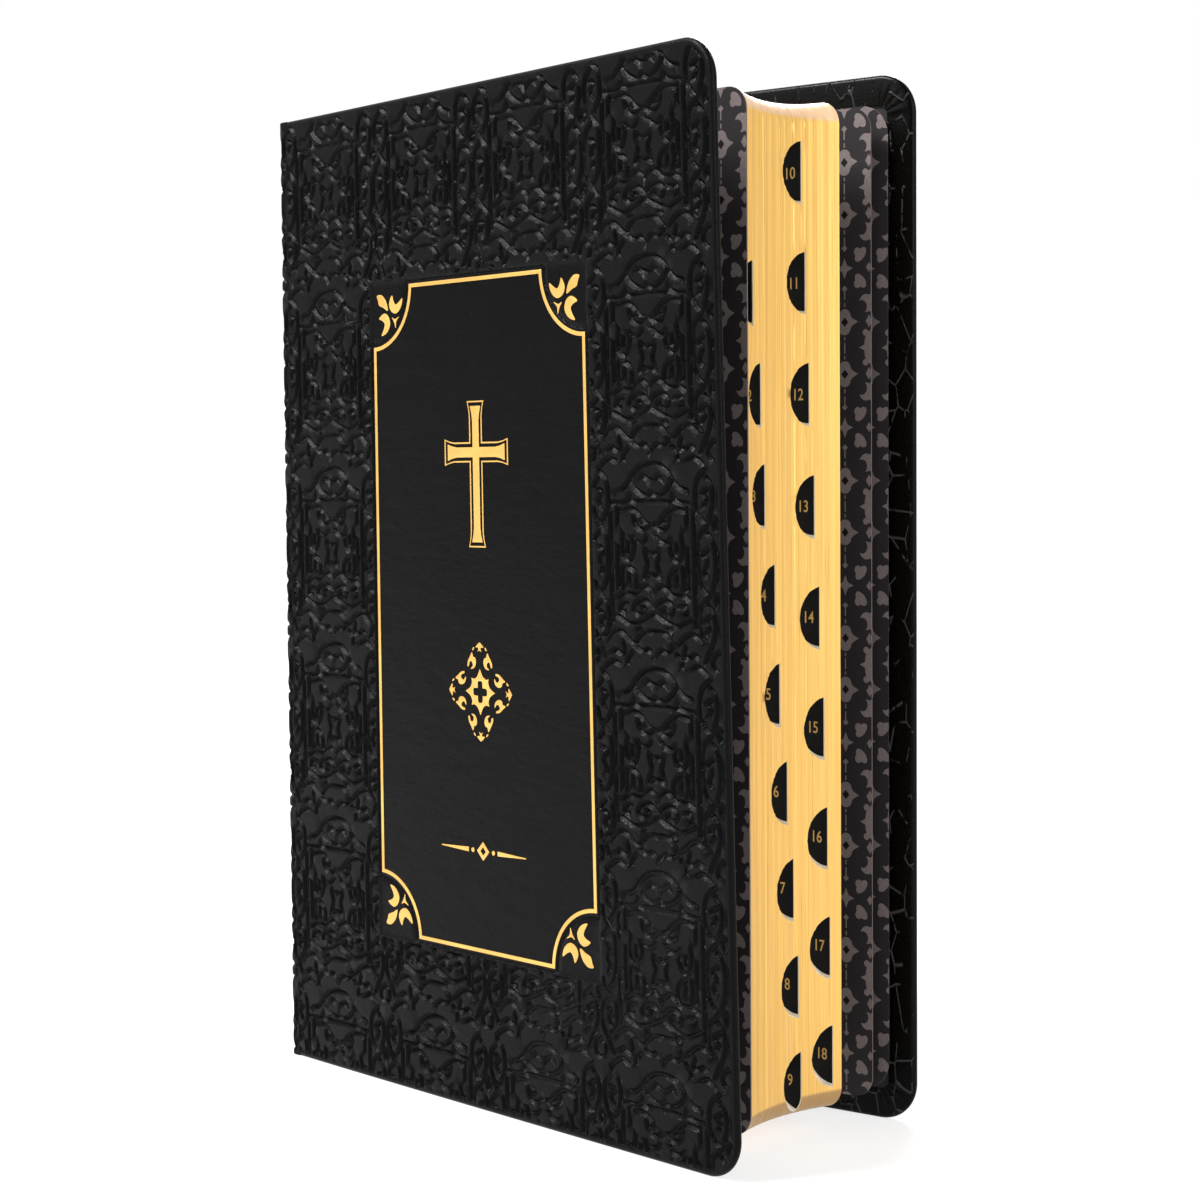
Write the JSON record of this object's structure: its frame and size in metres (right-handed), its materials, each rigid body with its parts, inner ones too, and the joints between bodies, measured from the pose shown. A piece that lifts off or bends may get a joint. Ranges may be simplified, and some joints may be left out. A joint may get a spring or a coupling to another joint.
{
  "type": "bible",
  "caption": "Upright gilt-edged bible with a flexible embossed leather cover standing ajar, thumb-index notches down the fore edge, patterned endpapers and gold-blocked ornaments.",
  "frame": {"origin": "middle of the footprint, on the surface that the book stands on", "axes": "+X from the spine to the fore edge, +Y from the front cover to the back cover, +Z from tail to head"},
  "size_m": [0.1596, 0.0684, 0.235],
  "materials": {
    "cover_leather": "embossed black, satin",
    "cover_board": "matt grey board",
    "endpaper": "matt print, grey-mauve scroll pattern on black",
    "gold_foil": "hot-blocked gold foil, satin",
    "gilt_pages": "thin paper, edges gilt",
    "index_label": "black label with gold figures",
    "mull_cloth": "open starched cotton",
    "tape_cloth": "woven cotton tape",
    "liner_card": "brown kraft card",
    "band_thread": "gold and black worked thread"
  },
  "bodies": {
    "root": {"page_section_07": "gilt_pages", "page_section_08": "gilt_pages", "page_section_09": "gilt_pages", "page_section_10": "gilt_pages", "page_section_11": "gilt_pages", "page_section_12": "gilt_pages", "page_section_13": "gilt_pages", "page_section_14": "gilt_pages", "page_section_15": "gilt_pages", "page_section_16": "gilt_pages", "page_section_17": "gilt_pages", "page_section_18": "gilt_pages", "page_section_19": "gilt_pages", "spine_leather_rear": "cover_leather", "spine_liner_rear": "liner_card", "mull_rear": "mull_cloth", "sewing_tapes_rear": "tape_cloth", "headband_rear": "band_thread", "tailband_rear": "band_thread", "index_labels_rear": "index_label"},
    "front_half": {"page_section_01": "gilt_pages", "page_section_02": "gilt_pages", "page_section_03": "gilt_pages", "page_section_04": "gilt_pages", "page_section_05": "gilt_pages", "page_section_06": "gilt_pages", "spine_leather_front": "cover_leather", "spine_liner_front": "liner_card", "mull_front": "mull_cloth", "sewing_tapes_front": "tape_cloth", "headband_front": "band_thread", "tailband_front": "band_thread", "index_labels_front": "index_label"},
    "front_endsheet": {"front_flyleaf": "endpaper"},
    "front_cover": {"front_cover_leather": "cover_leather", "front_cover_board": "cover_board", "front_pastedown": "endpaper", "gold_panel_line": "gold_foil", "gold_corner_sprays": "gold_foil", "gold_rosette": "gold_foil", "gold_cross": "gold_foil", "gold_divider": "gold_foil"},
    "back_endsheet": {"back_flyleaf": "endpaper"},
    "back_cover": {"back_cover_leather": "cover_leather", "back_cover_board": "cover_board", "back_pastedown": "endpaper"}
  },
  "joints": [
    {"name": "middle_opening", "type": "hinge", "parent": "root", "child": "front_half", "pos_m": [-0.07978, -0.0006, 0], "axis": [0, 0, 1], "range_deg": [-170, 0]},
    {"name": "front_endsheet_turn", "type": "hinge", "parent": "front_half", "child": "front_endsheet", "pos_m": [-0.07458, -0.0187, 0], "axis": [0, 0, 1], "range_deg": [-85, 0]},
    {"name": "front_cover_opening", "type": "hinge", "parent": "front_endsheet", "child": "front_cover", "pos_m": [-0.07458, -0.0187, 0], "axis": [0, 0, -1], "range_deg": [-4.2, 171]},
    {"name": "back_endsheet_turn", "type": "hinge", "parent": "root", "child": "back_endsheet", "pos_m": [-0.07458, 0.0175, 0], "axis": [0, 0, -1], "range_deg": [-80.5, 4.5]},
    {"name": "back_cover_opening", "type": "hinge", "parent": "back_endsheet", "child": "back_cover", "pos_m": [-0.07458, 0.0175, 0], "axis": [0, 0, 1], "range_deg": [-1.7, 171]}
  ]
}
